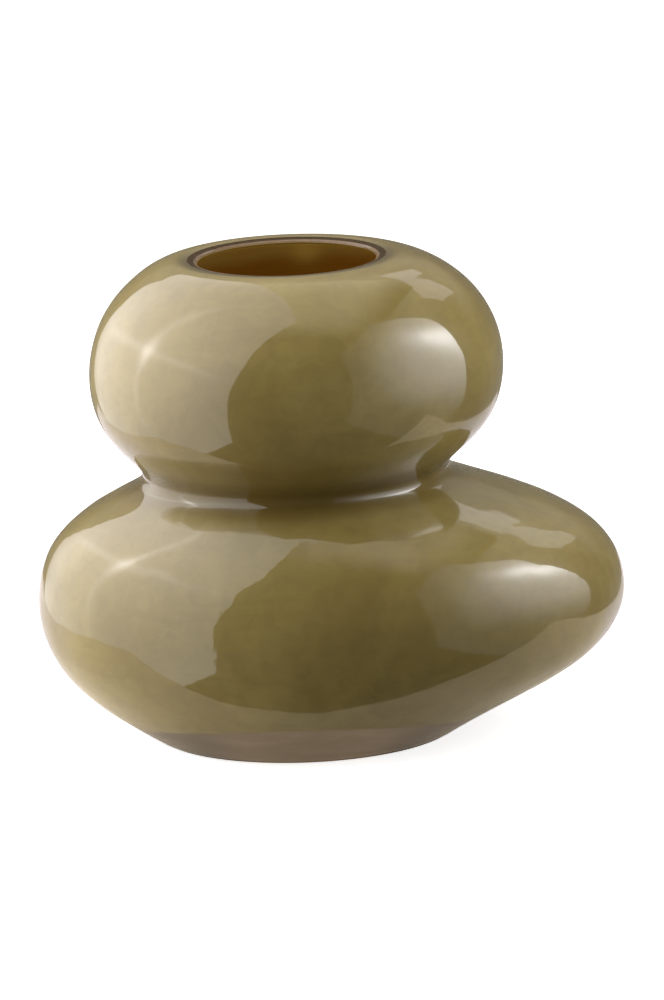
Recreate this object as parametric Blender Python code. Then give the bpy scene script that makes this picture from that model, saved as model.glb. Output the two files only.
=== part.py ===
"""Vase of blown, cased glass, shaped like two pebbles stacked one on the other.

The wall is three layers of glass blown one over another: a clear casing that also forms the thick base,
an opaque olive layer and an amber lining. Each layer is a solid of its own. Mouth and foot are round, the
waist is nearly so, and the lower pebble is drawn out to the right, along +X.

Metres, +Z up. The origin is the middle of the flat foot.
"""

import bpy
import bmesh
from math import cos, pi, radians, sin, sqrt, tan
from mathutils import Vector
from mathutils.geometry import interpolate_bezier

# Foot, base and floor
FOOT_RADIUS = 0.0614
BASE_THICKNESS = 0.012
FLOOR_RADIUS = 0.020
FLOOR_SWEEP = 0.034

# Underside of the lower pebble, rising from the foot
UNDERSIDE_SLOPE_RIGHT = radians(34.0)
UNDERSIDE_SLOPE_LEFT = radians(33.0)
UNDERSIDE_RUN_RIGHT = 0.0353
UNDERSIDE_RUN_LEFT = 0.0250

# Lower pebble: its reach from the axis, the level of its widest part and how round that part is
BELLY_REACH_RIGHT = 0.1321
BELLY_REACH_LEFT = 0.1079
BELLY_REACH_SIDE = 0.0974
BELLY_LEVEL = 0.0571
BELLY_ROUNDING_RIGHT = 0.0340
BELLY_ROUNDING_LEFT = 0.0575
BELLY_ROUNDING_SIDE = 0.0438

# Waist between the pebbles
NECK_RADIUS = 0.0630
NECK_RADIUS_SIDE = 0.0651
NECK_SHIFT = -0.0005
NECK_LEVEL = 0.1093
NECK_ROUNDING_RIGHT = 0.0037
NECK_ROUNDING_LEFT = 0.0044
NECK_ROUNDING_SIDE = 0.0017

# Upper pebble
UPPER_REACH_RIGHT = 0.0860
UPPER_REACH_LEFT = 0.0833
UPPER_REACH_SIDE = 0.0859
UPPER_LEVEL_RIGHT = 0.1515
UPPER_LEVEL_LEFT = 0.1490
UPPER_ROUNDING_RIGHT = 0.0525
UPPER_ROUNDING_LEFT = 0.0535
UPPER_ROUNDING_SIDE = 0.0485
TOP_RUN = 0.0140

# Mouth: the ground rim and the lip that the top rolls into
RIM_HEIGHT = 0.1969
MOUTH_RADIUS = 0.0405
MOUTH_SHIFT = -0.0007
RIM_SLOPE = radians(11.0)
LIP_RUN = 0.0035
LIP_RISE = 0.0002
LIP_ROUNDING = 0.0016

# Layers of glass, from the outside in, and the gap that keeps their solids apart
CASING_WALL = 0.0022
OLIVE_WALL = 0.0010
LINING_WALL = 0.0008
LAYER_GAP = 0.0003

# Facets around the vase and along each curve of a profile, from the mouth down
FACETS_AROUND = 40
LIP_STEPS = 3
TOP_STEPS = 6
WAIST_STEPS = 6
SHOULDER_STEPS = 7
UNDERSIDE_STEPS = 6
SMOOTH_BELOW = radians(30.0)


def around(angle, right, left, side=None):
    """Size at an angle from +X that runs smoothly from its value at the right to its value at the left."""
    middle = (right + left) / 2
    if side is None:
        side = middle
    return side + (right - left) / 2 * cos(angle) + (middle - side) * cos(angle) ** 2


def shifted(angle, radius, shift, side=None):
    """Radius, seen from the axis, of a circle or an oval whose middle lies a short shift along +X."""
    return around(angle, radius + shift, radius - shift, side)


def reach(run, rounding):
    """Length of a Bezier handle that gives the curve this radius where it leaves its tangent.

    run is how far the next control point lies from that tangent.
    """
    return sqrt(2 / 3 * run * rounding)


def skin(angle, depth, floor_level=None):
    """Profile of one surface of the glass at an angle from +X, as (radius, height) from the mouth down.

    depth is how far the surface lies inside the outside of the vase. A surface with a floor level ends on
    its flat floor, and the outside, which has none, ends on the foot.
    """
    mouth_radius = shifted(angle, MOUTH_RADIUS, MOUTH_SHIFT)
    mouth = Vector((mouth_radius - depth, RIM_HEIGHT - depth * tan(RIM_SLOPE)))
    crest = Vector((mouth_radius + LIP_RUN, RIM_HEIGHT + LIP_RISE - depth))
    upper = Vector((around(angle, UPPER_REACH_RIGHT, UPPER_REACH_LEFT, UPPER_REACH_SIDE) - depth,
                    around(angle, UPPER_LEVEL_RIGHT, UPPER_LEVEL_LEFT)))
    neck = Vector((shifted(angle, NECK_RADIUS, NECK_SHIFT, NECK_RADIUS_SIDE) - depth, NECK_LEVEL))
    belly = Vector((around(angle, BELLY_REACH_RIGHT, BELLY_REACH_LEFT, BELLY_REACH_SIDE) - depth,
                    BELLY_LEVEL))

    upper_rounding = around(angle, UPPER_ROUNDING_RIGHT, UPPER_ROUNDING_LEFT, UPPER_ROUNDING_SIDE) - depth
    neck_rounding = around(angle, NECK_ROUNDING_RIGHT, NECK_ROUNDING_LEFT, NECK_ROUNDING_SIDE) + depth
    belly_rounding = around(angle, BELLY_ROUNDING_RIGHT, BELLY_ROUNDING_LEFT, BELLY_ROUNDING_SIDE) - depth

    up = Vector((0, 1))
    out = Vector((1, 0))
    top_handle = crest + out * (TOP_RUN - depth / 2)
    if floor_level is None:
        slope = around(angle, UNDERSIDE_SLOPE_RIGHT, UNDERSIDE_SLOPE_LEFT)
        run = around(angle, UNDERSIDE_RUN_RIGHT, UNDERSIDE_RUN_LEFT)
        end = Vector((FOOT_RADIUS, 0))
        end_handle = end + run * Vector((cos(slope), sin(slope)))
        lip_handle = mouth + out * LIP_ROUNDING
    else:
        end = Vector((FLOOR_RADIUS, floor_level))
        end_handle = end + out * FLOOR_SWEEP
        lip_handle = mouth.copy()
        lip_handle.y = (mouth.y + crest.y) / 2

    curves = (
        (mouth, lip_handle, crest - out * LIP_ROUNDING, crest, LIP_STEPS),
        (crest, top_handle, upper + up * reach(upper.x - top_handle.x, upper_rounding), upper, TOP_STEPS),
        (upper, upper - up * reach(upper.x - neck.x, upper_rounding),
         neck + up * reach(upper.x - neck.x, neck_rounding), neck, WAIST_STEPS),
        (neck, neck - up * reach(belly.x - neck.x, neck_rounding),
         belly + up * reach(belly.x - neck.x, belly_rounding), belly, SHOULDER_STEPS),
        (belly, belly - up * reach(belly.x - end_handle.x, belly_rounding), end_handle, end, UNDERSIDE_STEPS),
    )
    profile = [mouth]
    for start, start_handle, stop_handle, stop, steps in curves:
        profile += interpolate_bezier(start, start_handle, stop_handle, stop, steps + 1)[1:]
    return profile


def ring(bm, angles, points):
    """Closed loop of edges through one (radius, height) point at each angle."""
    verts = [bm.verts.new((p.x * cos(a), p.x * sin(a), p.y)) for a, p in zip(angles, points)]
    return [bm.edges.new((verts[i - 1], verts[i])) for i in range(len(verts))]


def glass(name, colour, roughness, transmission):
    """Principled glass of one colour."""
    material = bpy.data.materials.new(name)
    material.use_nodes = True
    shader = material.node_tree.nodes["Principled BSDF"]
    shader.inputs["Base Color"].default_value = (*colour, 1.0)
    shader.inputs["Roughness"].default_value = roughness
    shader.inputs["Metallic"].default_value = 0.0
    shader.inputs["Transmission Weight"].default_value = transmission
    return material


def layer(name, material, outside, inside):
    """One layer of glass as a solid lofted ring by ring up its outside and down its inside.

    outside and inside are each the depth and floor level that skin takes.
    """
    angles = [2 * pi * i / FACETS_AROUND for i in range(FACETS_AROUND)]
    up_outside = [skin(a, *outside)[::-1] for a in angles]
    down_inside = [skin(a, *inside) for a in angles]
    sections = [first + second for first, second in zip(up_outside, down_inside)]

    bm = bmesh.new()
    rings = [ring(bm, angles, points) for points in zip(*sections)]
    for lower, upper in zip(rings, rings[1:]):
        bmesh.ops.bridge_loops(bm, edges=lower + upper)
    for bottom in (rings[0], rings[-1]):
        bmesh.ops.edgeloop_fill(bm, edges=bottom)
    bmesh.ops.recalc_face_normals(bm, faces=bm.faces)

    mesh = bpy.data.meshes.new(name)
    bm.to_mesh(mesh)
    bm.free()
    mesh.shade_smooth()
    mesh.set_sharp_from_angle(angle=SMOOTH_BELOW)
    mesh.materials.append(material)
    piece = bpy.data.objects.new(name, mesh)
    bpy.context.scene.collection.objects.link(piece)
    return piece


def build():
    """The three layers, each starting a gap inside the one before it."""
    for old in list(bpy.data.objects):
        bpy.data.objects.remove(old)

    casing_inside = (CASING_WALL, BASE_THICKNESS)
    olive_outside = tuple(size + LAYER_GAP for size in casing_inside)
    olive_inside = tuple(size + OLIVE_WALL for size in olive_outside)
    lining_outside = tuple(size + LAYER_GAP for size in olive_inside)
    lining_inside = tuple(size + LINING_WALL for size in lining_outside)

    layer("clear_casing", glass("clear glass", (0.80, 0.78, 0.70), 0.04, 1.0), (0.0, None), casing_inside)
    layer("olive_layer", glass("olive glass", (0.30, 0.25, 0.10), 0.10, 0.0), olive_outside, olive_inside)
    layer("amber_lining", glass("amber glass", (0.20, 0.10, 0.02), 0.06, 0.3), lining_outside, lining_inside)


build()
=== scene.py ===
"""Dressed model of the two-pebble vase of cased glass, laid out as a Blender add-on and run as a script.

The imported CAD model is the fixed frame. The three layers of glass are remade here as fine surfaces of
revolution whose profile changes with the angle, in the same frame and with the same outside as the CAD source.
They lie close together, without the gaps of the CAD model. A small studio stands round the vase: a table,
three softboxes, a window and a dim room. Metres, +Z up.
"""

from math import cos, radians, sin

import bpy
import numpy as np
from bpy.props import FloatProperty, FloatVectorProperty, IntProperty, PointerProperty
from bpy.types import Operator, Panel, PropertyGroup
from mathutils import Matrix, Vector


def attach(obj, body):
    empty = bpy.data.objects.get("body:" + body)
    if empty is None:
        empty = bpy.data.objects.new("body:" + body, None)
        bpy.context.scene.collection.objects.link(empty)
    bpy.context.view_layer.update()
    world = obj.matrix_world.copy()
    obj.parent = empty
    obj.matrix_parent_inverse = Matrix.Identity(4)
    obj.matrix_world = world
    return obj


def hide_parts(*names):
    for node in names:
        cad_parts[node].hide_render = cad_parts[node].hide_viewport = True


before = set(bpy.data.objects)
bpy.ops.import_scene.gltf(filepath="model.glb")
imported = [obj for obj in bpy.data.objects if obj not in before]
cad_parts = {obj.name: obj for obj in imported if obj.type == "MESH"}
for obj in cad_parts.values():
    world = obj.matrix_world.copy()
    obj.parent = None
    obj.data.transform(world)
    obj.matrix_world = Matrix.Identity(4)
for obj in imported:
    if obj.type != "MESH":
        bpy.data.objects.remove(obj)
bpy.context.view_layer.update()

bl_info = {
    "name": "Two-pebble glass vase",
    "version": (1, 0, 0),
    "blender": (4, 5, 0),
    "location": "3D View > Sidebar > Vase",
    "description": "Cased glass vase in three layers, and the studio that it is shown in",
    "category": "Object",
}

# Rows of faces along the five curves of a profile, and the angle from which an edge is sharp
FINE_STEPS = (8, 36, 40, 44, 36)
LINING_STEPS = (6, 18, 22, 24, 20)
HIDDEN_STEPS = (3, 8, 10, 10, 10)
SHARP_ANGLE = radians(28)

# Rings of the foot as shares of its radius, and the shares between which it is ground hollow
FOOT_RINGS = (0.15, 0.30, 0.42, 0.55, 0.68, 0.80, 0.88, 0.94, 0.97)
HOLLOW_EDGE, HOLLOW_FLOOR = 0.80, 0.10
ARRIS_RINGS = 4
ARRIS_MARGIN = 1.2

# Cut ends: distances of the casing's rings from the rim's outer edge, that edge's rounding, rings of the bevel
RIM_RINGS = (0.00012, 0.00030, 0.0009, 0.0017)
RIM_EDGE_WIDTH, RIM_EDGE_DROP = 0.0004, 0.00010
BEVEL_RINGS = 6

# Distances that keep the surfaces of the layers apart
LAYER_CLEARANCE = 0.00003
FLOOR_CLEARANCE = 0.0001
LINING_DROP = 0.0001
LINING_LIP = 0.0002

# Slow waves: heights over which they grow above the foot or the floor, and the height where they start to fade
WALL_WAVES_LOW, WALL_WAVES_HIGH = (0.004, 0.020), 0.180
LINING_WAVES_LOW, LINING_WAVES_HIGH = (0.018, 0.03), 0.185
LINING_WAVES_END = 0.004
LINING_WAVE_HEIGHT = 0.00012
LINING_WAVE_SEED = 9

# Glass: its index, its roughness where it is polished and where it is ground, and the haze on the polish
GLASS_IOR = 1.52
POLISHED, GROUND = 0.030, 0.38
HAZE, HAZE_IN_WAIST, HAZE_ROUGHNESS = 0.30, 0.05, 0.30
RIPPLE_HEIGHT = 0.00010
LINING_RIPPLE_HEIGHT = 0.00008
TURNING_MARK_HEIGHT = 0.00003
LOWER_PEBBLE = (0.120, 0.095)
NEAREST_AXIS = 0.001

# Clouds, ripples and seeds in a metre of each kind of glass
WALL_SCALES = (15.0, 90.0, 240.0)
MOTTLE_SCALES = (130.0, 330.0, 240.0)
CUT_SCALES = (60.0, 900.0, 500.0)
LINING_SCALES = (20.0, 130.0, 240.0)

# Outlines of the lamps, each in its own plane
KEY_OUTLINE = ((-0.36, -1.0), (0.54, -1.0), (0.54, 0.0), (0.36, 0.08), (0.36, 0.25), (0.62, 0.46), (0.45, 0.64),
               (0.16, 0.609), (-0.36, 0.609))
FILL_OUTLINE = ((-0.74, -0.49), (-0.11, -0.49), (0.09, -0.17), (0.09, 0.34), (-0.10, 0.60), (-0.74, 0.60))
FAR_PANE = ((-0.58, 0.42), (-0.60, -0.14), (-0.39, -0.11), (-0.24, 0.15), (-0.10, 0.42))
NEAR_PANE = ((-0.10, 0.42), (-0.24, 0.15), (-0.16, -0.05), (0.09, -0.39), (0.62, 0.10), (0.54, 0.50), (0.15, 0.47))
TOP_OUTLINE = ((-0.13, -0.49), (-0.13, 0.68), (0.52, 0.68), (0.52, -0.49))
TOP_LEVEL = 0.90
WINDOW_DISTANCE = 2.5

# Stage sheets: their level, their reach, and their glow to the camera and into the room
SHEET_LEVEL = -0.0003
SHEET_SIDE, SHEET_FRONT, SHEET_REAR = 1.6, -1.8, 3.0
TABLE_GLOW, APRON_GLOW, ROOM_GLOW = 0.78, 1.0, 0.06

FILM_WIDTH = 36.0
FARTHEST_VIEW = 50.0
BLACK, WHITE = (0.0, 0.0, 0.0), (1.0, 1.0, 1.0)


def length(name, description, default):
    """A length in metres that a user may change."""
    return FloatProperty(name=name, description=description, default=default, unit="LENGTH", precision=5)


def slope(name, description, degrees):
    """An angle that a user may change."""
    return FloatProperty(name=name, description=description, default=radians(degrees), subtype="ANGLE")


def number(name, description, default):
    """A plain number that a user may change."""
    return FloatProperty(name=name, description=description, default=default, precision=4)


def colour(name, description, default):
    """A linear colour that a user may change."""
    return FloatVectorProperty(name=name, description=description, default=default, subtype="COLOR",
                               size=3, min=0.0, max=1.0)


class VaseShape(PropertyGroup):
    """Sizes of the blown wall: the outside as in the CAD source, the layers as they show at the rim."""

    foot_radius: length("Foot radius", "Radius of the flat ground foot", 0.0614)
    foot_arris: length("Foot arris", "Rounding of the foot's edge", 0.0007)
    foot_hollow: length("Foot hollow", "Depth of the ground hollow in the middle of the foot", 0.0009)
    base_thickness: length("Base thickness", "Height of the casing's floor above the foot", 0.012)
    floor_radius: length("Floor radius", "Radius of the flat floor inside", 0.020)
    floor_sweep: length("Floor sweep", "How far the floor runs on before it rises", 0.034)

    underside_slope_right: slope("Underside slope, right", "Rise of the underside at the foot", 34.0)
    underside_slope_left: slope("Underside slope, left", "Rise of the underside at the foot", 33.0)
    underside_run_right: length("Underside run, right", "How far the underside keeps its slope", 0.0353)
    underside_run_left: length("Underside run, left", "How far the underside keeps its slope", 0.0250)

    belly_reach_right: length("Belly reach, right", "Reach of the lower pebble along +X", 0.1321)
    belly_reach_left: length("Belly reach, left", "Reach of the lower pebble along -X", 0.1079)
    belly_reach_side: length("Belly reach, side", "Reach of the lower pebble along Y", 0.0974)
    belly_level: length("Belly level", "Height of the widest part of the lower pebble", 0.0571)
    belly_rounding_right: length("Belly rounding, right", "Radius of the lower pebble's edge", 0.0340)
    belly_rounding_left: length("Belly rounding, left", "Radius of the lower pebble's edge", 0.0575)
    belly_rounding_side: length("Belly rounding, side", "Radius of the lower pebble's edge", 0.0438)

    neck_radius: length("Waist radius", "Outer radius of the waist", 0.0630)
    neck_side: length("Waist radius, side", "Outer radius of the waist along Y", 0.0651)
    neck_shift: length("Waist shift", "How far the waist's middle lies along +X", -0.0005)
    neck_level: length("Waist level", "Height of the waist", 0.1093)
    neck_rounding_right: length("Waist rounding, right", "Radius of the waist's hollow", 0.0037)
    neck_rounding_left: length("Waist rounding, left", "Radius of the waist's hollow", 0.0044)
    neck_rounding_side: length("Waist rounding, side", "Radius of the waist's hollow", 0.0017)

    upper_reach_right: length("Upper reach, right", "Reach of the upper pebble along +X", 0.0860)
    upper_reach_left: length("Upper reach, left", "Reach of the upper pebble along -X", 0.0833)
    upper_reach_side: length("Upper reach, side", "Reach of the upper pebble along Y", 0.0859)
    upper_level_right: length("Upper level, right", "Height of the upper pebble's widest part", 0.1515)
    upper_level_left: length("Upper level, left", "Height of the upper pebble's widest part", 0.1490)
    upper_rounding_right: length("Upper rounding, right", "Radius of the upper pebble's edge", 0.0525)
    upper_rounding_left: length("Upper rounding, left", "Radius of the upper pebble's edge", 0.0535)
    upper_rounding_side: length("Upper rounding, side", "Radius of the upper pebble's edge", 0.0485)
    top_run: length("Top run", "How far the top runs level from the lip", 0.0140)

    rim_height: length("Rim height", "Height of the ground rim's outer edge", 0.1969)
    mouth_radius: length("Mouth radius", "Radius of the ground rim's outer edge", 0.0405)
    mouth_shift: length("Mouth shift", "How far the mouth's middle lies along +X", -0.0007)
    rim_slope: slope("Rim slope", "Fall of the ground rim towards the inside", 11.0)
    bevel_slope: slope("Bevel slope", "Fall of the bevel on the olive layer's cut end", 38.0)
    lip_run: length("Lip run", "Distance from the rim's edge to the crest of the lip", 0.0035)
    lip_rise: length("Lip rise", "Height of the crest over the rim's edge", 0.0002)
    lip_rounding: length("Lip rounding", "Length of the lip's handles", 0.0016)

    casing_wall: length("Casing wall", "Thickness of the clear casing at the rim", 0.0027)
    olive_wall: length("Olive wall", "Thickness of the olive layer at the rim", 0.0009)
    lining_wall: length("Lining wall", "Thickness of the amber lining", 0.0005)

    wave_height: length("Waviness", "Height of the slow waves that blowing leaves in the wall", 0.00022)
    facets_around: IntProperty(name="Facets around", description="Faces round the vase", default=288, min=48)


class GlassColours(PropertyGroup):
    """Colours of the glass, some of them painted shade and painted light."""

    olive: colour("Olive", "Olive glass seen through the casing", (0.226, 0.174, 0.054))
    olive_deep: colour("Deep olive", "Thicker clouds and streaks in the olive glass", (0.179, 0.132, 0.037))
    # Painted shade: darkens the hollow of the waist and the glass under the upper pebble, where shade falls
    painted_waist_shade: colour("Waist shade", "Thick glass in the hollow of the waist", (0.085, 0.054, 0.011))
    # Painted shade on the glass near the rim, weaker at the back of the mouth
    painted_lip_shade: colour("Lip shade", "Glass near the rim, where the olive layer ends", (0.088, 0.066, 0.021))
    # Painted shade and painted light: the clear band is real, its dark foot colour is painted shade seen through
    # the glass, and its pale streaks and glow are painted light, strongest at the front
    foot: colour("Clear foot", "Thick clear glass above the foot", (0.070, 0.050, 0.028))
    foot_pale: colour("Pale foot", "Paler clouds in the clear foot", (0.130, 0.094, 0.060))
    foot_painted_glow: colour("Lit foot", "Light that comes through the clear foot", (0.078, 0.052, 0.031))
    # Painted shade: the ground end of the clear casing is painted dark with the shade seen through it
    rim: colour("Cut casing", "Ground end of the casing", (0.050, 0.031, 0.015))
    # Partly painted reflection: the cut end of the olive layer, made pale and pinkish with light it mirrors
    bevel: colour("Cut olive", "Ground end of the olive layer", (0.190, 0.126, 0.078))
    amber: colour("Amber", "Lining of the vase", (0.260, 0.145, 0.032))
    amber_deep: colour("Deep amber", "Thicker streaks in the lining", (0.200, 0.078, 0.009))
    # Painted light: the lit colours are glows on the lining for the light that comes through the wall
    lit: colour("Lit amber", "Light that comes through the wall near the mouth", (0.070, 0.043, 0.0075))
    lit_deep: colour("Lit deep amber", "Light that comes through the wall further down", (0.044, 0.0185, 0.0013))


class Studio(PropertyGroup):
    """Camera, table and lamps."""

    elevation: slope("Elevation", "Angle of the view above the table", 12.6)
    roll: slope("Roll", "Turn of the camera about its view", 2.319)
    distance: length("Distance", "Distance from the camera to what it looks at", 4.0)
    lens: number("Lens", "Focal length in millimetres on a 36 mm film", 352.63)
    target: FloatVectorProperty(name="Target", description="Point in the middle of the picture",
                                default=(0.013764, 0.0, 0.094764), subtype="XYZ", unit="LENGTH", precision=5)
    table_front: length("Table front", "Y of the table's front edge", -0.095)
    table_rear: length("Table rear", "Y of the table's rear edge", 0.45)
    key_strength: number("Left softbox", "Brightness of the left softbox", 1.86)
    fill_strength: number("Right softbox", "Brightness of the right softbox", 3.55)
    top_strength: number("Top softbox", "Brightness of the softbox overhead", 1.5)
    window_strength: number("Window", "Brightness of the window behind", 1.35)


def around(angle, right, left, side=None):
    """Size at each angle from +X: the mean of right and left plus half their difference times the cosine.

    With a side value, the cosine squared carries the size from side, at a right angle, to that mean.
    """
    middle = (right + left) / 2
    if side is None:
        side = middle
    return side + (right - left) / 2 * np.cos(angle) + (middle - side) * np.cos(angle) ** 2


def reach(run, rounding):
    """Length of a Bezier handle, the root of two thirds of run times rounding, that gives this end radius."""
    return np.sqrt(2 / 3 * run * rounding)


def bezier(points, steps):
    """Cubic Bezier through arrays of (radius, height) control points, as steps + 1 rows of both."""
    t = np.linspace(0, 1, steps + 1)[:, None]
    weights = ((1 - t) ** 3, 3 * t * (1 - t) ** 2, 3 * t ** 2 * (1 - t), t ** 3)
    radius = sum(w * p[0] for w, p in zip(weights, points))
    height = sum(w * p[1] for w, p in zip(weights, points))
    return radius, height


def skin(shape, angle, depth, floor_level=None, steps=FINE_STEPS):
    """One surface of the glass, from the mouth down, as rows of radius and height over all angles.

    Five cubic Beziers run from the mouth over the crest of the lip, the widest part of the upper pebble, the
    waist and the belly to the foot, or to the flat floor for a surface inside. Their handles give neighbours
    the same radius of curvature. depth is how far the surface lies inside the outside.
    """
    one = np.ones_like(angle)
    s = shape
    mouth_radius = around(angle, s.mouth_radius + s.mouth_shift, s.mouth_radius - s.mouth_shift)
    mouth = (mouth_radius - depth, (s.rim_height - depth * np.tan(s.rim_slope)) * one)
    crest = (mouth_radius + s.lip_run, (s.rim_height + s.lip_rise - depth) * one)
    upper = (around(angle, s.upper_reach_right, s.upper_reach_left, s.upper_reach_side) - depth,
             around(angle, s.upper_level_right, s.upper_level_left))
    neck = (around(angle, s.neck_radius + s.neck_shift, s.neck_radius - s.neck_shift, s.neck_side) - depth,
            s.neck_level * one)
    belly = (around(angle, s.belly_reach_right, s.belly_reach_left, s.belly_reach_side) - depth,
             s.belly_level * one)
    upper_rounding = around(angle, s.upper_rounding_right, s.upper_rounding_left, s.upper_rounding_side) - depth
    neck_rounding = around(angle, s.neck_rounding_right, s.neck_rounding_left, s.neck_rounding_side) + depth
    belly_rounding = around(angle, s.belly_rounding_right, s.belly_rounding_left, s.belly_rounding_side) - depth

    top_handle = (crest[0] + s.top_run - depth / 2, crest[1])
    if floor_level is None:
        rise = around(angle, s.underside_slope_right, s.underside_slope_left)
        run = around(angle, s.underside_run_right, s.underside_run_left)
        end = (s.foot_radius * one, 0 * one)
        end_handle = (end[0] + run * np.cos(rise), end[1] + run * np.sin(rise))
        lip_handle = (mouth[0] + s.lip_rounding, mouth[1])
    else:
        end = (s.floor_radius * one, floor_level * one)
        end_handle = (end[0] + s.floor_sweep, end[1])
        lip_handle = (mouth[0], (mouth[1] + crest[1]) / 2)

    out, pinch, spread = upper[0] - top_handle[0], upper[0] - neck[0], belly[0] - neck[0]
    under = belly[0] - end_handle[0]
    curves = (
        (mouth, lip_handle, (crest[0] - s.lip_rounding, crest[1]), crest),
        (crest, top_handle, (upper[0], upper[1] + reach(out, upper_rounding)), upper),
        (upper, (upper[0], upper[1] - reach(pinch, upper_rounding)),
         (neck[0], neck[1] + reach(pinch, neck_rounding)), neck),
        (neck, (neck[0], neck[1] - reach(spread, neck_rounding)),
         (belly[0], belly[1] + reach(spread, belly_rounding)), belly),
        (belly, (belly[0], belly[1] - reach(under, belly_rounding)), end_handle, end),
    )
    rows = [bezier(curve, n) for curve, n in zip(curves, steps)]
    radius = np.concatenate([rows[0][0][:1]] + [r[1:] for r, _ in rows])
    height = np.concatenate([rows[0][1][:1]] + [h[1:] for _, h in rows])
    return radius, height


def angles_of(shape):
    """Evenly spaced angles from +X, one for each facet."""
    return np.linspace(0, 2 * np.pi, shape.facets_around, endpoint=False)


def grid(angle, radius, height):
    """Points of a surface given by radius and height over rows and angles."""
    return np.stack((radius * np.cos(angle), radius * np.sin(angle), height + 0 * radius), axis=-1)


def normals_of(points):
    """Unit normals of a closed grid of points, the cross product of its steps along the angle and the rows."""
    along = np.roll(points, -1, axis=1) - np.roll(points, 1, axis=1)
    across = np.gradient(points, axis=0)
    normal = np.cross(along, across)
    return normal / np.maximum(np.linalg.norm(normal, axis=-1, keepdims=True), 1e-12)


def ease(value, low, high):
    """0 at low and beyond it, 1 at high and beyond it, and the smooth cubic step between them."""
    t = np.clip((value - low) / (high - low), 0, 1)
    return t * t * (3 - 2 * t)


def slow_waves(points, count=30, shortest=0.012, longest=0.050, seed=5):
    """Sum of plane sine waves of seeded directions, about 1 at its peaks, each as steep as the others."""
    rng = np.random.default_rng(seed)
    direction = rng.normal(size=(count, 3))
    direction /= np.linalg.norm(direction, axis=1, keepdims=True)
    wave = np.geomspace(shortest, longest, count)
    phase = rng.uniform(0, 2 * np.pi, count)
    swing = np.sin(points @ (direction * (2 * np.pi / wave)[:, None]).T + phase)
    return swing @ (wave / longest) / np.sqrt(np.sum((wave / longest) ** 2)) / 2


def closed_mesh(name, points, first_level, last_level, slots=None):
    """Mesh of a grid of rings closed by a pole on the axis at each end, with a slot for each row of faces."""
    rings, facets, _ = points.shape
    if slots is None:
        slots = np.zeros(rings - 1, dtype=int)
    ring, facet = np.meshgrid(np.arange(rings - 1), np.arange(facets), indexing="ij")
    after = (facet + 1) % facets
    quads = np.stack((ring * facets + facet, ring * facets + after,
                      (ring + 1) * facets + after, (ring + 1) * facets + facet), axis=-1).reshape(-1, 4)
    j = np.arange(facets)
    k = (j + 1) % facets
    first = rings * facets
    last = first + 1
    top = (rings - 1) * facets
    start_fan = np.stack((np.full(facets, first), k, j), axis=-1)
    end_fan = np.stack((top + j, top + k, np.full(facets, last)), axis=-1)

    mesh = bpy.data.meshes.new(name)
    verts = np.concatenate((points.reshape(-1, 3), [(0, 0, first_level), (0, 0, last_level)]))
    mesh.from_pydata(verts.tolist(), [], quads.tolist() + start_fan.tolist() + end_fan.tolist())
    index = np.concatenate((np.repeat(slots, facets), np.full(facets, slots[0]), np.full(facets, slots[-1])))
    mesh.polygons.foreach_set("material_index", index.astype(np.int32))
    mesh.shade_smooth()
    mesh.set_sharp_from_angle(angle=SHARP_ANGLE)
    mesh.validate()
    mesh.update()
    return mesh


def piece(context, name, mesh, materials, node):
    """Object of a finished piece of glass that stands for a CAD node and rides on the vase's one body."""
    made = bpy.data.objects.new(name, mesh)
    context.scene.collection.objects.link(made)
    for material in materials:
        mesh.materials.append(material)
    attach(made, "root")
    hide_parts(node)
    return made


def feed(tree, node, feeds):
    """Gives each input that feeds names its value, or links it to the output socket that feeds holds for it."""
    for key, value in feeds.items():
        if isinstance(value, bpy.types.NodeSocket):
            tree.links.new(value, node.inputs[key])
        else:
            node.inputs[key].default_value = value


def put(tree, kind, feeds=None, **settings):
    """New node of a tree with its settings and what feeds its inputs."""
    made = tree.nodes.new(kind)
    for key, value in settings.items():
        setattr(made, key, value)
    feed(tree, made, feeds or {})
    return made


def maths(tree, operation, *values):
    """Output of a Math node."""
    return put(tree, "ShaderNodeMath", dict(enumerate(values)), operation=operation).outputs[0]


def ramp(tree, value, low, high, start=0.0, stop=1.0):
    """Output of a Map Range node that eases from start at low to stop at high."""
    feeds = {"Value": value, "From Min": low, "From Max": high, "To Min": start, "To Max": stop}
    return put(tree, "ShaderNodeMapRange", feeds, interpolation_type="SMOOTHSTEP").outputs["Result"]


def blend(tree, share, first, second):
    """Colour that goes from first to second as share goes from 0 to 1."""
    first, second = (tint if isinstance(tint, bpy.types.NodeSocket) else (*tint, 1.0) for tint in (first, second))
    return put(tree, "ShaderNodeMix", {0: share, 6: first, 7: second}, data_type="RGBA").outputs[2]


def dimmed(tint, share):
    """Colour with each part multiplied by share."""
    return tuple(share * part for part in tint)


def bell(tree, value, width):
    """Gauss curve: e to the power of minus the square of value over width."""
    scaled = maths(tree, "DIVIDE", value, width)
    return maths(tree, "EXPONENT", maths(tree, "MULTIPLY", maths(tree, "MULTIPLY", scaled, scaled), -1.0))


def distance(tree, first, second):
    """Root of the sum of two squares."""
    squares = [maths(tree, "MULTIPLY", part, part) for part in (first, second)]
    return maths(tree, "SQRT", maths(tree, "ADD", *squares))


def coordinates(tree, kind="Object"):
    """Texture coordinates of one kind."""
    return put(tree, "ShaderNodeTexCoord").outputs[kind]


def split(tree, vector):
    """X, Y and Z of a vector."""
    return put(tree, "ShaderNodeSeparateXYZ", {"Vector": vector}).outputs


def noise(tree, vector, scale, detail, roughness, distortion=0.0):
    """Output of a Noise Texture node."""
    feeds = {"Vector": vector, "Scale": scale, "Detail": detail, "Roughness": roughness, "Distortion": distortion}
    return put(tree, "ShaderNodeTexNoise", feeds).outputs[0]


def bumped(tree, height, strength, depth):
    """Normal from a Bump node."""
    return put(tree, "ShaderNodeBump", {"Height": height, "Strength": strength, "Distance": depth}).outputs[0]


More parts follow.
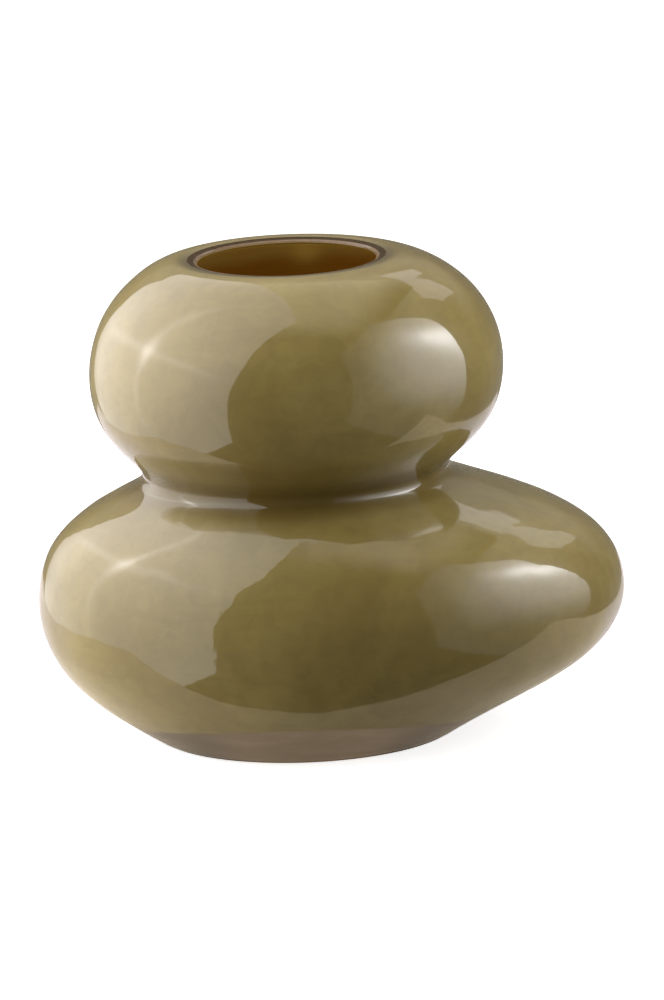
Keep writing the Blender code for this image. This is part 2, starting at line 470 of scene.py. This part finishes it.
def blown_glass_group():
    """Node group for glass worked hot: slow clouds, streaks round the vase, fine ripples and small seeds."""
    name = "blown_glass"
    if name in bpy.data.node_groups:
        return bpy.data.node_groups[name]
    tree = bpy.data.node_groups.new(name, "ShaderNodeTree")
    tree.interface.new_socket("Position", in_out="INPUT", socket_type="NodeSocketVector")
    for socket, default in (("Cloud Scale", 16.0), ("Ripple Scale", 150.0), ("Seed Scale", 260.0)):
        tree.interface.new_socket(socket, in_out="INPUT", socket_type="NodeSocketFloat").default_value = default
    for socket in ("Cloud", "Streak", "Ripple", "Seeds"):
        tree.interface.new_socket(socket, in_out="OUTPUT", socket_type="NodeSocketFloat")
    given = put(tree, "NodeGroupInput").outputs
    position = given["Position"]

    cloud = noise(tree, position, given["Cloud Scale"], 4.0, 0.55, 0.8)
    flat = put(tree, "ShaderNodeMapping", {"Vector": position, "Scale": (0.35, 0.35, 3.2)}).outputs[0]
    streak = noise(tree, flat, given["Cloud Scale"], 5.0, 0.6, 1.2)
    ripple = noise(tree, position, given["Ripple Scale"], 1.5, 0.5)
    cells = put(tree, "ShaderNodeTexVoronoi", {"Vector": position, "Scale": given["Seed Scale"]}).outputs
    chosen = put(tree, "ShaderNodeSeparateColor", {"Color": cells["Color"]}).outputs[0]
    rare = ramp(tree, chosen, 0.86, 0.90)
    dot = ramp(tree, cells["Distance"], 0.10, 0.04)
    seeds = maths(tree, "MULTIPLY", rare, dot)
    put(tree, "NodeGroupOutput", {"Cloud": cloud, "Streak": streak, "Ripple": ripple, "Seeds": seeds})
    return tree


def new_material(name):
    """Material with its node tree, its Principled shader set to glass and the Object coordinates."""
    material = bpy.data.materials.new(name)
    material.use_nodes = True
    tree = material.node_tree
    shader = tree.nodes["Principled BSDF"]
    shader.inputs["IOR"].default_value = GLASS_IOR
    return material, tree, shader, coordinates(tree)


def surface_of(tree, position, scales):
    """Blown-glass group placed in a material with its own scales of clouds, ripples and seeds."""
    cloud, ripple, seed = scales
    feeds = {"Position": position, "Cloud Scale": cloud, "Ripple Scale": ripple, "Seed Scale": seed}
    return put(tree, "ShaderNodeGroup", feeds, node_tree=blown_glass_group()).outputs


def mottled_olive(tree, look, fine, colours):
    """Olive glass: deeper in its clouds, streaks and seeds, with a fine mottle over all of it."""
    cloud = ramp(tree, look["Cloud"], 0.32, 0.70)
    streak = ramp(tree, look["Streak"], 0.40, 0.68, 0.0, 0.55)
    seeds = maths(tree, "MULTIPLY", look["Seeds"], 0.35)
    olive = blend(tree, maths(tree, "MAXIMUM", cloud, streak), colours.olive, colours.olive_deep)
    olive = blend(tree, seeds, olive, colours.olive_deep)
    fine_streak = ramp(tree, fine["Streak"], 0.40, 0.70)
    fine_cloud = ramp(tree, fine["Cloud"], 0.35, 0.70, 0.0, 0.16)
    mottle = maths(tree, "MULTIPLY_ADD", fine_streak, 0.04, fine_cloud)
    return blend(tree, mottle, olive, dimmed(colours.olive, 0.35))


def lip_shade(tree, axes, radius, facing, shape):
    """Share of the painted shade near the rim, which is weaker at the back of the mouth."""
    outward = maths(tree, "SUBTRACT", radius, shape.mouth_radius)
    upward = maths(tree, "SUBTRACT", axes["Z"], shape.rim_height)
    near_rim = ramp(tree, distance(tree, outward, upward), 0.0004, 0.0065, 0.95, 0.0)
    not_behind = ramp(tree, facing, -0.1, 0.7, 1.0, 0.25)
    return maths(tree, "MULTIPLY", near_rim, not_behind)


def waist_shades(tree, axes, radius, shape):
    """Share of the hollow at the waist, and of the painted shade in that hollow and under the upper pebble.

    The painted shades weaken towards both sides of the vase.
    """
    outward = maths(tree, "SUBTRACT", radius, shape.neck_side)
    above = maths(tree, "SUBTRACT", axes["Z"], shape.neck_level)
    hollow = ramp(tree, distance(tree, outward, above), 0.0015, 0.0130, 0.85, 0.0)
    below_top = ramp(tree, above, 0.022, 0.013, 0.0, 0.42)
    over_waist = ramp(tree, above, 0.002, 0.008)
    eaves = maths(tree, "MULTIPLY", below_top, over_waist)
    aside = ramp(tree, maths(tree, "ABSOLUTE", axes["X"]), 0.015, 0.050)
    painted_hollow_shade = maths(tree, "MULTIPLY", hollow, maths(tree, "MULTIPLY_ADD", aside, -0.15, 1.0))
    painted_eaves_shade = maths(tree, "MULTIPLY", eaves, maths(tree, "MULTIPLY_ADD", aside, -0.80, 1.0))
    return hollow, painted_hollow_shade, painted_eaves_shade


def foot_band(tree, axes, facing, look, fine):
    """Share of the clear band above the foot, whose uneven upper edge is higher at the front and the back."""
    low, rise, softness = 0.0080, 0.0105, 0.0009
    edge = maths(tree, "MULTIPLY_ADD", maths(tree, "MULTIPLY", facing, facing), rise, low)
    for streak, swing in ((look["Streak"], 0.0030), (fine["Streak"], 0.0024)):
        edge = maths(tree, "ADD", edge, maths(tree, "MULTIPLY_ADD", streak, swing, -swing / 2))
    over = maths(tree, "SUBTRACT", axes["Z"], edge)
    return ramp(tree, over, -softness, softness, 1.0, 0.0)


def wall_ripples(tree, axes, look, fine):
    """Normal of the polished wall: ripples that are livelier on the lower pebble, and finer ones added there."""
    lower = ramp(tree, axes["Z"], *LOWER_PEBBLE, 0.55, 1.0)
    cloudy = ramp(tree, look["Cloud"], 0.30, 0.70, 0.6, 1.3)
    swell = maths(tree, "MULTIPLY", look["Ripple"], maths(tree, "MULTIPLY", lower, cloudy))
    fine_share = ramp(tree, axes["Z"], *LOWER_PEBBLE, 0.02, 0.22)
    swell = maths(tree, "MULTIPLY_ADD", fine["Ripple"], fine_share, swell)
    return bumped(tree, swell, 1.0, RIPPLE_HEIGHT)


def cased_glass(colours, shape):
    """Olive glass under its clear casing: mottled, with painted shade at the lip and the waist, and clear above
    the foot.
    """
    material, tree, shader, position = new_material("olive cased glass")
    look = surface_of(tree, position, WALL_SCALES)
    fine = surface_of(tree, position, MOTTLE_SCALES)
    axes = split(tree, position)
    radius = distance(tree, maths(tree, "ADD", axes["X"], -shape.mouth_shift), axes["Y"])
    facing = maths(tree, "DIVIDE", axes["Y"], maths(tree, "MAXIMUM", radius, NEAREST_AXIS))

    olive = mottled_olive(tree, look, fine, colours)
    # Painted shade near the rim
    olive = blend(tree, lip_shade(tree, axes, radius, facing, shape), olive, colours.painted_lip_shade)
    # Painted shade in the hollow of the waist and under the upper pebble
    hollow, *painted_shades = waist_shades(tree, axes, radius, shape)
    for shade in painted_shades:
        olive = blend(tree, shade, olive, colours.painted_waist_shade)

    clear = foot_band(tree, axes, facing, look, fine)
    # Painted light: pale streaks and a glow, strongest at the front, for the light that comes through the clear
    # foot; the foot colour under them is painted shade
    ahead = ramp(tree, facing, -0.78, -0.97, 0.30, 1.0)
    pale = maths(tree, "MULTIPLY", ramp(tree, look["Streak"], 0.36, 0.60), ahead)
    foot = blend(tree, pale, colours.foot, colours.foot_pale)
    painted_foot_glow = maths(tree, "MULTIPLY", clear, ahead)
    at_front = ramp(tree, facing, -0.35, -0.65)
    front_waist = maths(tree, "MULTIPLY", ramp(tree, hollow, 0.0, 0.60), at_front)
    feed(tree, shader, {
        "Base Color": blend(tree, clear, olive, foot),
        "Emission Color": blend(tree, painted_foot_glow, BLACK, colours.foot_painted_glow),
        "Emission Strength": 1.0,
        "Roughness": ramp(tree, axes["Z"], 0.0004, 0.0012, GROUND, POLISHED),
        "Normal": wall_ripples(tree, axes, look, fine),
        "Coat Weight": ramp(tree, front_waist, 0.0, 1.0, HAZE, HAZE_IN_WAIST),
        "Coat Roughness": HAZE_ROUGHNESS,
    })
    return material


def ground_glass(name, base, deep, rough, grain, gloss):
    """Ground cut end of a layer: fine turning marks round the mouth and slightly uneven gloss."""
    material, tree, shader, position = new_material(name)
    look = surface_of(tree, position, CUT_SCALES)
    turned = put(tree, "ShaderNodeMapping", {"Vector": position, "Scale": (1.0, 1.0, 0.2)}).outputs[0]
    marks = noise(tree, turned, grain, 6.0, 0.7)
    feed(tree, shader, {
        "Base Color": blend(tree, ramp(tree, marks, 0.35, 0.65), base, deep),
        "Roughness": ramp(tree, look["Cloud"], 0.3, 0.7, rough * 0.75, rough * 1.25),
        "Normal": bumped(tree, marks, 0.25, TURNING_MARK_HEIGHT),
        "Specular IOR Level": gloss,
    })
    return material


def lining_glow(tree, axes, look, colours):
    """Painted light on the lining, a glow for the light that comes through it: paler near the mouth, streaked, and
    brightest in a spot behind.
    """
    spot_x, spot_z, spot_width, spot_gain = 0.0070, 0.1870, 0.0060, 1.6
    level = maths(tree, "MULTIPLY_ADD", look["Cloud"], 0.010, axes["Z"])
    level = maths(tree, "MULTIPLY_ADD", axes["X"], -0.04, level)
    streak = ramp(tree, look["Streak"], 0.45, 0.75, 0.0, 0.45)
    lit = blend(tree, ramp(tree, level, 0.1845, 0.1935), colours.lit_deep, colours.lit)
    lit = blend(tree, streak, lit, colours.lit_deep)
    apart = distance(tree, maths(tree, "ADD", axes["X"], -spot_x), maths(tree, "ADD", axes["Z"], -spot_z))
    behind = ramp(tree, axes["Y"], 0.0, 0.03)
    spot = maths(tree, "MULTIPLY", bell(tree, apart, spot_width), behind)
    return blend(tree, spot, lit, dimmed(colours.lit, spot_gain))


def amber_glass(colours, shape):
    """Amber lining: deep, glossy and streaked round the vase, with a painted glow near the mouth for the light
    that comes through it.
    """
    material, tree, shader, position = new_material("amber lining glass")
    look = surface_of(tree, position, LINING_SCALES)
    axes = split(tree, position)
    cloud = ramp(tree, look["Cloud"], 0.35, 0.70)
    streak = ramp(tree, look["Streak"], 0.45, 0.70)
    amber = blend(tree, maths(tree, "MAXIMUM", cloud, streak), colours.amber, colours.amber_deep)
    # Painted shade: the lining darkens towards its top edge, just under the rim
    edge = ramp(tree, axes["Z"], shape.rim_height - 0.0050, shape.rim_height - 0.0025)
    feed(tree, shader, {
        "Base Color": blend(tree, edge, amber, dimmed(colours.amber, 0.30)),
        "Emission Color": lining_glow(tree, axes, look, colours),
        "Emission Strength": 1.0,
        "Roughness": ramp(tree, look["Cloud"], 0.3, 0.7, 0.05, 0.10),
        "Normal": bumped(tree, look["Ripple"], 0.35, LINING_RIPPLE_HEIGHT),
    })
    return material


class VASE_OT_cased_wall(Operator):
    """Outside of the vase: the clear casing with the olive glass showing through it, its rim and its foot"""

    bl_idname = "vase.cased_wall"
    bl_label = "Cased wall"

    def execute(self, context):
        shape, colours = context.scene.vase_shape, context.scene.glass_colours
        angle = angles_of(shape)
        radius, height = skin(shape, angle, 0.0)
        outside = grid(angle, radius[::-1], height[::-1])
        level = outside[..., 2]
        free = ease(level, *WALL_WAVES_LOW) * ease(level, shape.rim_height, WALL_WAVES_HIGH)
        wave = slow_waves(outside.reshape(-1, 3)).reshape(free.shape)
        push = shape.wave_height * (wave - 1.0) * free
        outside = outside + normals_of(outside) * push[..., None]

        foot = np.array(FOOT_RINGS)[:, None] * shape.foot_radius
        hollow = shape.foot_hollow * ease(foot, HOLLOW_EDGE * shape.foot_radius, HOLLOW_FLOOR * shape.foot_radius)
        turn = np.linspace(0, 1, ARRIS_RINGS)[:, None] * np.pi / 2
        arris = shape.foot_arris
        corner = (shape.foot_radius - arris + arris * np.sin(turn), arris - arris * np.cos(turn))
        sole = grid(angle, np.concatenate((foot, corner[0])) + 0 * angle, np.concatenate((hollow, corner[1])))

        above = outside[..., 2].min(axis=1) > shape.foot_arris * ARRIS_MARGIN
        side = outside[np.argmax(above):]
        band = np.array((*RIM_RINGS, shape.casing_wall))[:, None]
        fall = band * np.tan(shape.rim_slope) + RIM_EDGE_DROP * ease(band, 0.0, RIM_EDGE_WIDTH)
        rim = grid(angle, radius[:1] - band, shape.rim_height - fall)
        inner = skin(shape, angle, shape.casing_wall, shape.base_thickness, HIDDEN_STEPS)
        inside = grid(angle, inner[0][1:], inner[1][1:])

        points = np.concatenate((sole, side, rim, inside))
        slots = np.zeros(len(points) - 1, dtype=int)
        slots[len(sole) + len(side) - 1:] = 1
        mesh = closed_mesh("cased_wall", points, shape.foot_hollow, shape.base_thickness, slots)
        # Painted shade: the clear casing's cut end is painted dark with the shade seen through it
        cut = ground_glass("ground casing", colours.rim, dimmed(colours.rim, 0.75), rough=0.30, grain=700.0,
                           gloss=0.03)
        piece(context, "cased_wall", mesh, (cased_glass(colours, shape), cut), "clear_casing")
        return {"FINISHED"}


class VASE_OT_olive_ring(Operator):
    """Olive layer under the casing, which shows at the rim as a pale bevelled ring"""

    bl_idname = "vase.olive_ring"
    bl_label = "Olive layer"

    def execute(self, context):
        shape, colours = context.scene.vase_shape, context.scene.glass_colours
        angle = angles_of(shape)
        near, far = shape.casing_wall + LAYER_CLEARANCE, shape.casing_wall + shape.olive_wall
        floor = shape.base_thickness + FLOOR_CLEARANCE
        outer = skin(shape, angle, near, floor, HIDDEN_STEPS)
        inner = skin(shape, angle, far, floor + shape.olive_wall, HIDDEN_STEPS)
        outside = grid(angle, outer[0][::-1], outer[1][::-1])
        width = np.linspace(0.0, 1.0, BEVEL_RINGS)[1:-1, None] * (far - near)
        start = outer[1][:1]
        bevel = grid(angle, outer[0][:1] - width, start - width * np.tan(shape.bevel_slope))
        edge = start - (far - near) * np.tan(shape.bevel_slope)
        inside = grid(angle, inner[0], np.minimum(inner[1], edge))
        points = np.concatenate((outside, bevel, inside))
        mesh = closed_mesh("olive_ring", points, floor, floor + shape.olive_wall)
        # Partly painted reflection: the olive layer's cut end is pale and pinkish with light it mirrors
        cut = ground_glass("ground olive glass", colours.bevel, dimmed(colours.bevel, 0.85), rough=0.12,
                           grain=500.0, gloss=0.2)
        piece(context, "olive_ring", mesh, (cut,), "olive_layer")
        return {"FINISHED"}


class VASE_OT_amber_bowl(Operator):
    """Amber lining, seen through the mouth"""

    bl_idname = "vase.amber_bowl"
    bl_label = "Amber lining"

    def execute(self, context):
        shape, colours = context.scene.vase_shape, context.scene.glass_colours
        angle = angles_of(shape)
        near = shape.casing_wall + shape.olive_wall + LAYER_CLEARANCE
        far = near + shape.lining_wall
        floor = shape.base_thickness + shape.olive_wall + 2 * FLOOR_CLEARANCE
        drop = (shape.olive_wall + LINING_DROP) * np.tan(shape.bevel_slope)
        outer = skin(shape, angle, near, floor, HIDDEN_STEPS)
        inner = skin(shape, angle, far, floor + shape.lining_wall, LINING_STEPS)
        top = outer[1][:1] - drop + near * np.tan(shape.rim_slope) - shape.casing_wall * np.tan(shape.rim_slope)
        outside = grid(angle, outer[0], np.minimum(outer[1], top))[::-1]
        inside = grid(angle, inner[0], np.minimum(inner[1], top - LINING_LIP))
        swell = slow_waves(inside.reshape(-1, 3), seed=LINING_WAVE_SEED).reshape(inside.shape[:2])
        level = inside[..., 2]
        free = ease(level, shape.rim_height - LINING_WAVES_END, LINING_WAVES_HIGH) * ease(level, *LINING_WAVES_LOW)
        inside = inside + normals_of(inside) * (LINING_WAVE_HEIGHT * (swell - 1.0) * free)[..., None]
        points = np.concatenate((outside, inside))
        mesh = closed_mesh("amber_bowl", points, floor, floor + shape.lining_wall)
        piece(context, "amber_bowl", mesh, (amber_glass(colours, shape),), "amber_lining")
        return {"FINISHED"}


def sheet_object(context, name, outline, material, level=0.0, place=None):
    """Flat stage sheet inside an outline, at a level of its own frame."""
    mesh = bpy.data.meshes.new(name)
    mesh.from_pydata([(x, y, level) for x, y in outline], [], [range(len(outline))])
    mesh.materials.append(material)
    made = bpy.data.objects.new(name, mesh)
    context.scene.collection.objects.link(made)
    if place is not None:
        made.matrix_world = place
    return made


def stage_material(name):
    """Material with an empty node tree."""
    material = bpy.data.materials.new(name)
    material.use_nodes = True
    material.node_tree.nodes.clear()
    return material, material.node_tree


def paper_white(name, glow_to_camera):
    """White sheet. For the camera it glows, so that it is white and the table still takes a faint shadow.

    Mirrored in the glass it is warm in front of the vase, and cooler and brighter behind it.
    """
    material, tree = stage_material(name)
    path = put(tree, "ShaderNodeLightPath").outputs
    seen, mirrored = path["Is Camera Ray"], path["Is Glossy Ray"]
    axes = split(tree, coordinates(tree))
    behind = ramp(tree, axes["Y"], -0.01, 0.10)
    paper = blend(tree, behind, (0.80, 0.73, 0.61), (0.69, 0.66, 0.68))
    paper = blend(tree, mirrored, (0.80, 0.80, 0.80), paper)
    matt = put(tree, "ShaderNodeBsdfDiffuse", {"Color": paper})
    tint = blend(tree, behind, (1.0, 0.89, 0.70), (0.86, 0.78, 0.86))
    tint = blend(tree, seen, tint, WHITE)
    gain = ramp(tree, axes["Y"], 0.20, 0.36, 0.05, 0.40)
    strength = maths(tree, "MULTIPLY_ADD", mirrored, gain, ROOM_GLOW)
    strength = maths(tree, "MULTIPLY_ADD", seen, glow_to_camera - ROOM_GLOW, strength)
    glow = put(tree, "ShaderNodeEmission", {"Color": tint, "Strength": strength})
    both = put(tree, "ShaderNodeAddShader", {0: matt.outputs[0], 1: glow.outputs[0]})
    put(tree, "ShaderNodeOutputMaterial", {"Surface": both.outputs[0]})
    return material


def lamp_front(name, tint):
    """Material of a lamp that shines from its front face. Returns it, its tree, glow and own coordinates."""
    material, tree = stage_material(name)
    glow = put(tree, "ShaderNodeEmission", {"Color": (*tint, 1.0)})
    dark = put(tree, "ShaderNodeBsdfDiffuse", {"Color": (0.02, 0.02, 0.02, 1.0)})
    back = put(tree, "ShaderNodeNewGeometry").outputs["Backfacing"]
    side = put(tree, "ShaderNodeMixShader", {0: back, 1: glow.outputs[0], 2: dark.outputs[0]})
    put(tree, "ShaderNodeOutputMaterial", {"Surface": side.outputs[0]})
    return material, tree, glow, split(tree, coordinates(tree))


def shine(tree, glow, pattern, strength):
    """Sets a lamp's glow to its pattern times its strength."""
    feed(tree, glow, {"Strength": maths(tree, "MULTIPLY", pattern, strength)})


def lamp_sheet(context, name, outline, material, place):
    """Lamp that lights the vase and shows in its reflections but not to the camera."""
    sheet_object(context, name, outline, material, place=place).visible_camera = False


def key_softbox(context, studio):
    """Tall softbox close at the left that leans over the vase.

    It has a bright middle and two soft ribs that cross at its lamp, and it is dimmer towards its rear edge.
    """
    rib_width, lamp_width, lamp_height, lamp_gain, spread_width = 0.014, 0.022, 0.036, 1.9, 0.26
    material, tree, glow, axes = lamp_front("left softbox", (1.0, 0.98, 0.975))
    beside = maths(tree, "MULTIPLY_ADD", axes["Y"], 0.25, maths(tree, "ADD", axes["X"], 0.005))
    above = maths(tree, "MULTIPLY_ADD", axes["X"], -0.15, maths(tree, "ADD", axes["Y"], 0.022))
    spread = bell(tree, distance(tree, axes["X"], axes["Y"]), spread_width)
    ribs = maths(tree, "ADD", bell(tree, beside, rib_width), bell(tree, above, rib_width))
    ribs = maths(tree, "MULTIPLY_ADD", ribs, 0.60, 0.80)
    lamp = maths(tree, "MULTIPLY", bell(tree, beside, lamp_width), bell(tree, above, lamp_height))
    glare = maths(tree, "MULTIPLY_ADD", lamp, lamp_gain, maths(tree, "MULTIPLY", spread, ribs))
    rear = ramp(tree, axes["X"], 0.28, 0.58, 0.0, -0.48)
    halfway_up = maths(tree, "MULTIPLY", ramp(tree, axes["Y"], -0.20, -0.12), ramp(tree, axes["Y"], 0.20, 0.05))
    dim = maths(tree, "MULTIPLY", rear, halfway_up)
    pattern = maths(tree, "MULTIPLY", maths(tree, "ADD", glare, 1.0), maths(tree, "ADD", dim, 1.0))
    shine(tree, glow, pattern, studio.key_strength)

    across = Vector((-0.140, 0.965, -0.223)).normalized()
    up = Vector((0.359, 0.260, 0.896)).normalized()
    ahead = across.cross(up).normalized()
    place = Matrix((across, ahead.cross(across), ahead)).transposed().to_4x4()
    place.translation = (-0.253, -0.001, 0.275)
    lamp_sheet(context, "left_softbox", KEY_OUTLINE, material, place)


def fill_softbox(context, studio):
    """Upright softbox at the right: brightest near its back edge, weaker in front and soft at its lower edge."""
    hot_length, hot_width, hot_gain, spread_width, least = 0.135, 0.062, 1.9, 0.30, 0.10
    diagonal = 0.70
    material, tree, glow, axes = lamp_front("right softbox", (0.98, 0.98, 1.0))
    aside = maths(tree, "ADD", axes["X"], -0.025)
    along = maths(tree, "MULTIPLY", maths(tree, "ADD", aside, axes["Y"]), diagonal)
    over = maths(tree, "MULTIPLY", maths(tree, "SUBTRACT", aside, axes["Y"]), diagonal)
    hot = maths(tree, "MULTIPLY", bell(tree, along, hot_length), bell(tree, over, hot_width))
    spread = bell(tree, distance(tree, axes["X"], axes["Y"]), spread_width)
    spread = maths(tree, "MULTIPLY", spread, ramp(tree, axes["Y"], 0.41, 0.21))
    pattern = maths(tree, "MULTIPLY_ADD", hot, hot_gain, maths(tree, "ADD", spread, least))
    shine(tree, glow, pattern, studio.fill_strength)

    across, down, inward = Vector((0, 1, 0)), Vector((0, 0, -1)), Vector((-1, 0, 0))
    place = Matrix((across, down, inward)).transposed().to_4x4()
    place.translation = (0.40, -0.02, 0.34)
    lamp_sheet(context, "right_softbox", FILL_OUTLINE, material, place)


def window(context, studio):
    """Dim window high up behind at the right: two panes that a dark wedge parts."""
    material, tree, glow, axes = lamp_front("window", (1.0, 0.97, 0.93))
    shine(tree, glow, ramp(tree, axes["Y"], -0.45, 0.40, 0.8, 1.1), studio.window_strength)
    toward = Vector((-0.441, -0.735, -0.515)).normalized()
    across = Vector((0, 0, 1)).cross(toward).normalized()
    place = Matrix((across, toward.cross(across), toward)).transposed().to_4x4()
    place.translation = -WINDOW_DISTANCE * toward + Vector((0.03, 0, 0.14))
    lamp_sheet(context, "window_far_pane", FAR_PANE, material, place)
    lamp_sheet(context, "window_near_pane", NEAR_PANE, material, place)


def top_softbox(context, studio):
    """Level softbox over the vase and to its right, faded at the front and the right, for the top of the glass."""
    material, tree, glow, axes = lamp_front("top softbox", (1.0, 0.92, 0.74))
    soft = maths(tree, "MULTIPLY", ramp(tree, axes["Y"], -0.49, -0.10), ramp(tree, axes["X"], 0.52, 0.23))
    shine(tree, glow, soft, studio.top_strength)
    lamp_sheet(context, "top_softbox", TOP_OUTLINE, material, Matrix.Translation((0, 0, TOP_LEVEL)))


def studio_world(context):
    """Room: white to the camera and warm and dim to all other rays.

    It is paler on the wall behind the vase and on the ceiling. What the glass mirrors of it in front and below
    is darker than the light that comes from there.
    """
    front_light, front_mirrored, back_level, ceiling_level, floor_light = 0.22, 0.06, 0.14, 0.6, 0.20
    world = bpy.data.worlds.new("studio room")
    context.scene.world = world
    world.use_nodes = True
    tree = world.node_tree
    tree.nodes.clear()
    axes = split(tree, coordinates(tree, "Generated"))
    path = put(tree, "ShaderNodeLightPath").outputs
    seen, mirrored = path["Is Camera Ray"], path["Is Glossy Ray"]

    front = maths(tree, "MULTIPLY_ADD", mirrored, front_mirrored - front_light, front_light)
    level = ramp(tree, axes["Y"], -0.3, 0.1, front, back_level)
    wall = maths(tree, "ADD", ramp(tree, axes["Z"], 0.17, 0.32, 0.05, 0.30),
                 ramp(tree, axes["Z"], -0.20, -0.02, 0.10, 0.0))
    level = maths(tree, "MULTIPLY_ADD", ramp(tree, axes["Y"], 0.56, 0.80), wall, level)
    ceiling = maths(tree, "MULTIPLY", ramp(tree, axes["Z"], 0.42, 0.80), ramp(tree, axes["Y"], -0.1, 0.4))
    level = maths(tree, "MULTIPLY_ADD", ceiling, ceiling_level, level)
    floor = maths(tree, "MULTIPLY_ADD", mirrored, -floor_light, floor_light)
    level = maths(tree, "MULTIPLY_ADD", ramp(tree, axes["Z"], 0.0, -0.5), floor, level)
    level = maths(tree, "MAXIMUM", level, seen)
    tint = blend(tree, seen, (1.0, 0.93, 0.80), WHITE)
    room = put(tree, "ShaderNodeBackground", {"Color": tint, "Strength": level})
    put(tree, "ShaderNodeOutputWorld", {"Surface": room.outputs[0]})


def lay_table(context, studio):
    """Table and the white sheets round it. The glass mirrors the table alone, so its outline shows there."""
    front, rear = studio.table_front, studio.table_rear
    table, apron = paper_white("white table", TABLE_GLOW), paper_white("white paper", APRON_GLOW)
    left = ((-0.33, rear), (-0.277, 0.118), (-0.258, -0.040), (-0.180, front))
    right = ((0.335, front), (0.262, 0.0), (0.240, 0.11), (0.245, rear))
    side = SHEET_SIDE
    sheets = (
        ("table", table, left + right),
        ("table_left", table, ((-side, rear), (-side, front)) + left[::-1]),
        ("table_right", table, ((side, front), (side, rear)) + right[::-1]),
        ("front_apron", apron, ((-side, SHEET_FRONT), (side, SHEET_FRONT), (side, front), (-side, front))),
        ("rear_apron", apron, ((-side, rear), (side, rear), (side, SHEET_REAR), (-side, SHEET_REAR))),
    )
    for name, material, outline in sheets:
        sheet = sheet_object(context, name, outline, material, SHEET_LEVEL)
        sheet.visible_glossy = name == "table"
        sheet.visible_diffuse = material == table


def place_camera(context, studio):
    """Camera that looks at its target from the front, raised and rolled."""
    elevation, roll = studio.elevation, studio.roll
    back = Vector((0, -cos(elevation), sin(elevation)))
    level_up = Vector((0, sin(elevation), cos(elevation)))
    right = Vector((cos(roll), 0, 0)) - sin(roll) * level_up
    up = Vector((sin(roll), 0, 0)) + cos(roll) * level_up
    lens = bpy.data.cameras.new("camera")
    lens.lens, lens.sensor_width, lens.clip_end = studio.lens, FILM_WIDTH, FARTHEST_VIEW
    camera = bpy.data.objects.new("camera", lens)
    place = Matrix((right, up, back)).transposed().to_4x4()
    place.translation = Vector(studio.target) + studio.distance * back
    camera.matrix_world = place
    context.scene.collection.objects.link(camera)
    context.scene.camera = camera


class VASE_OT_studio(Operator):
    """Table, lamps, room and the camera at the photograph's angle"""

    bl_idname = "vase.studio"
    bl_label = "Studio"

    def execute(self, context):
        studio = context.scene.studio
        lay_table(context, studio)
        key_softbox(context, studio)
        fill_softbox(context, studio)
        window(context, studio)
        top_softbox(context, studio)
        studio_world(context)
        context.scene.view_settings.view_transform = "Standard"
        place_camera(context, studio)
        return {"FINISHED"}


class VASE_PT_pieces(Panel):
    """Sidebar list of the vase's pieces and its studio"""

    bl_idname = "VASE_PT_pieces"
    bl_label = "Two-pebble glass vase"
    bl_space_type = "VIEW_3D"
    bl_region_type = "UI"
    bl_category = "Vase"

    def draw(self, context):
        for operator in OPERATORS:
            self.layout.operator(operator.bl_idname)


OPERATORS = (VASE_OT_cased_wall, VASE_OT_olive_ring, VASE_OT_amber_bowl, VASE_OT_studio)
CLASSES = (VaseShape, GlassColours, Studio) + OPERATORS + (VASE_PT_pieces,)


def register():
    """Registers the classes and hangs their settings on the scene."""
    for cls in CLASSES:
        bpy.utils.register_class(cls)
    bpy.types.Scene.vase_shape = PointerProperty(type=VaseShape)
    bpy.types.Scene.glass_colours = PointerProperty(type=GlassColours)
    bpy.types.Scene.studio = PointerProperty(type=Studio)


def unregister():
    """Takes the settings off the scene and unregisters the classes."""
    del bpy.types.Scene.studio
    del bpy.types.Scene.glass_colours
    del bpy.types.Scene.vase_shape
    for cls in reversed(CLASSES):
        bpy.utils.unregister_class(cls)


def main():
    """Builds the vase and its studio."""
    register()
    bpy.ops.vase.cased_wall()
    bpy.ops.vase.olive_ring()
    bpy.ops.vase.amber_bowl()
    bpy.ops.vase.studio()
    bpy.context.view_layer.update()


if __name__ == "__main__":
    main()
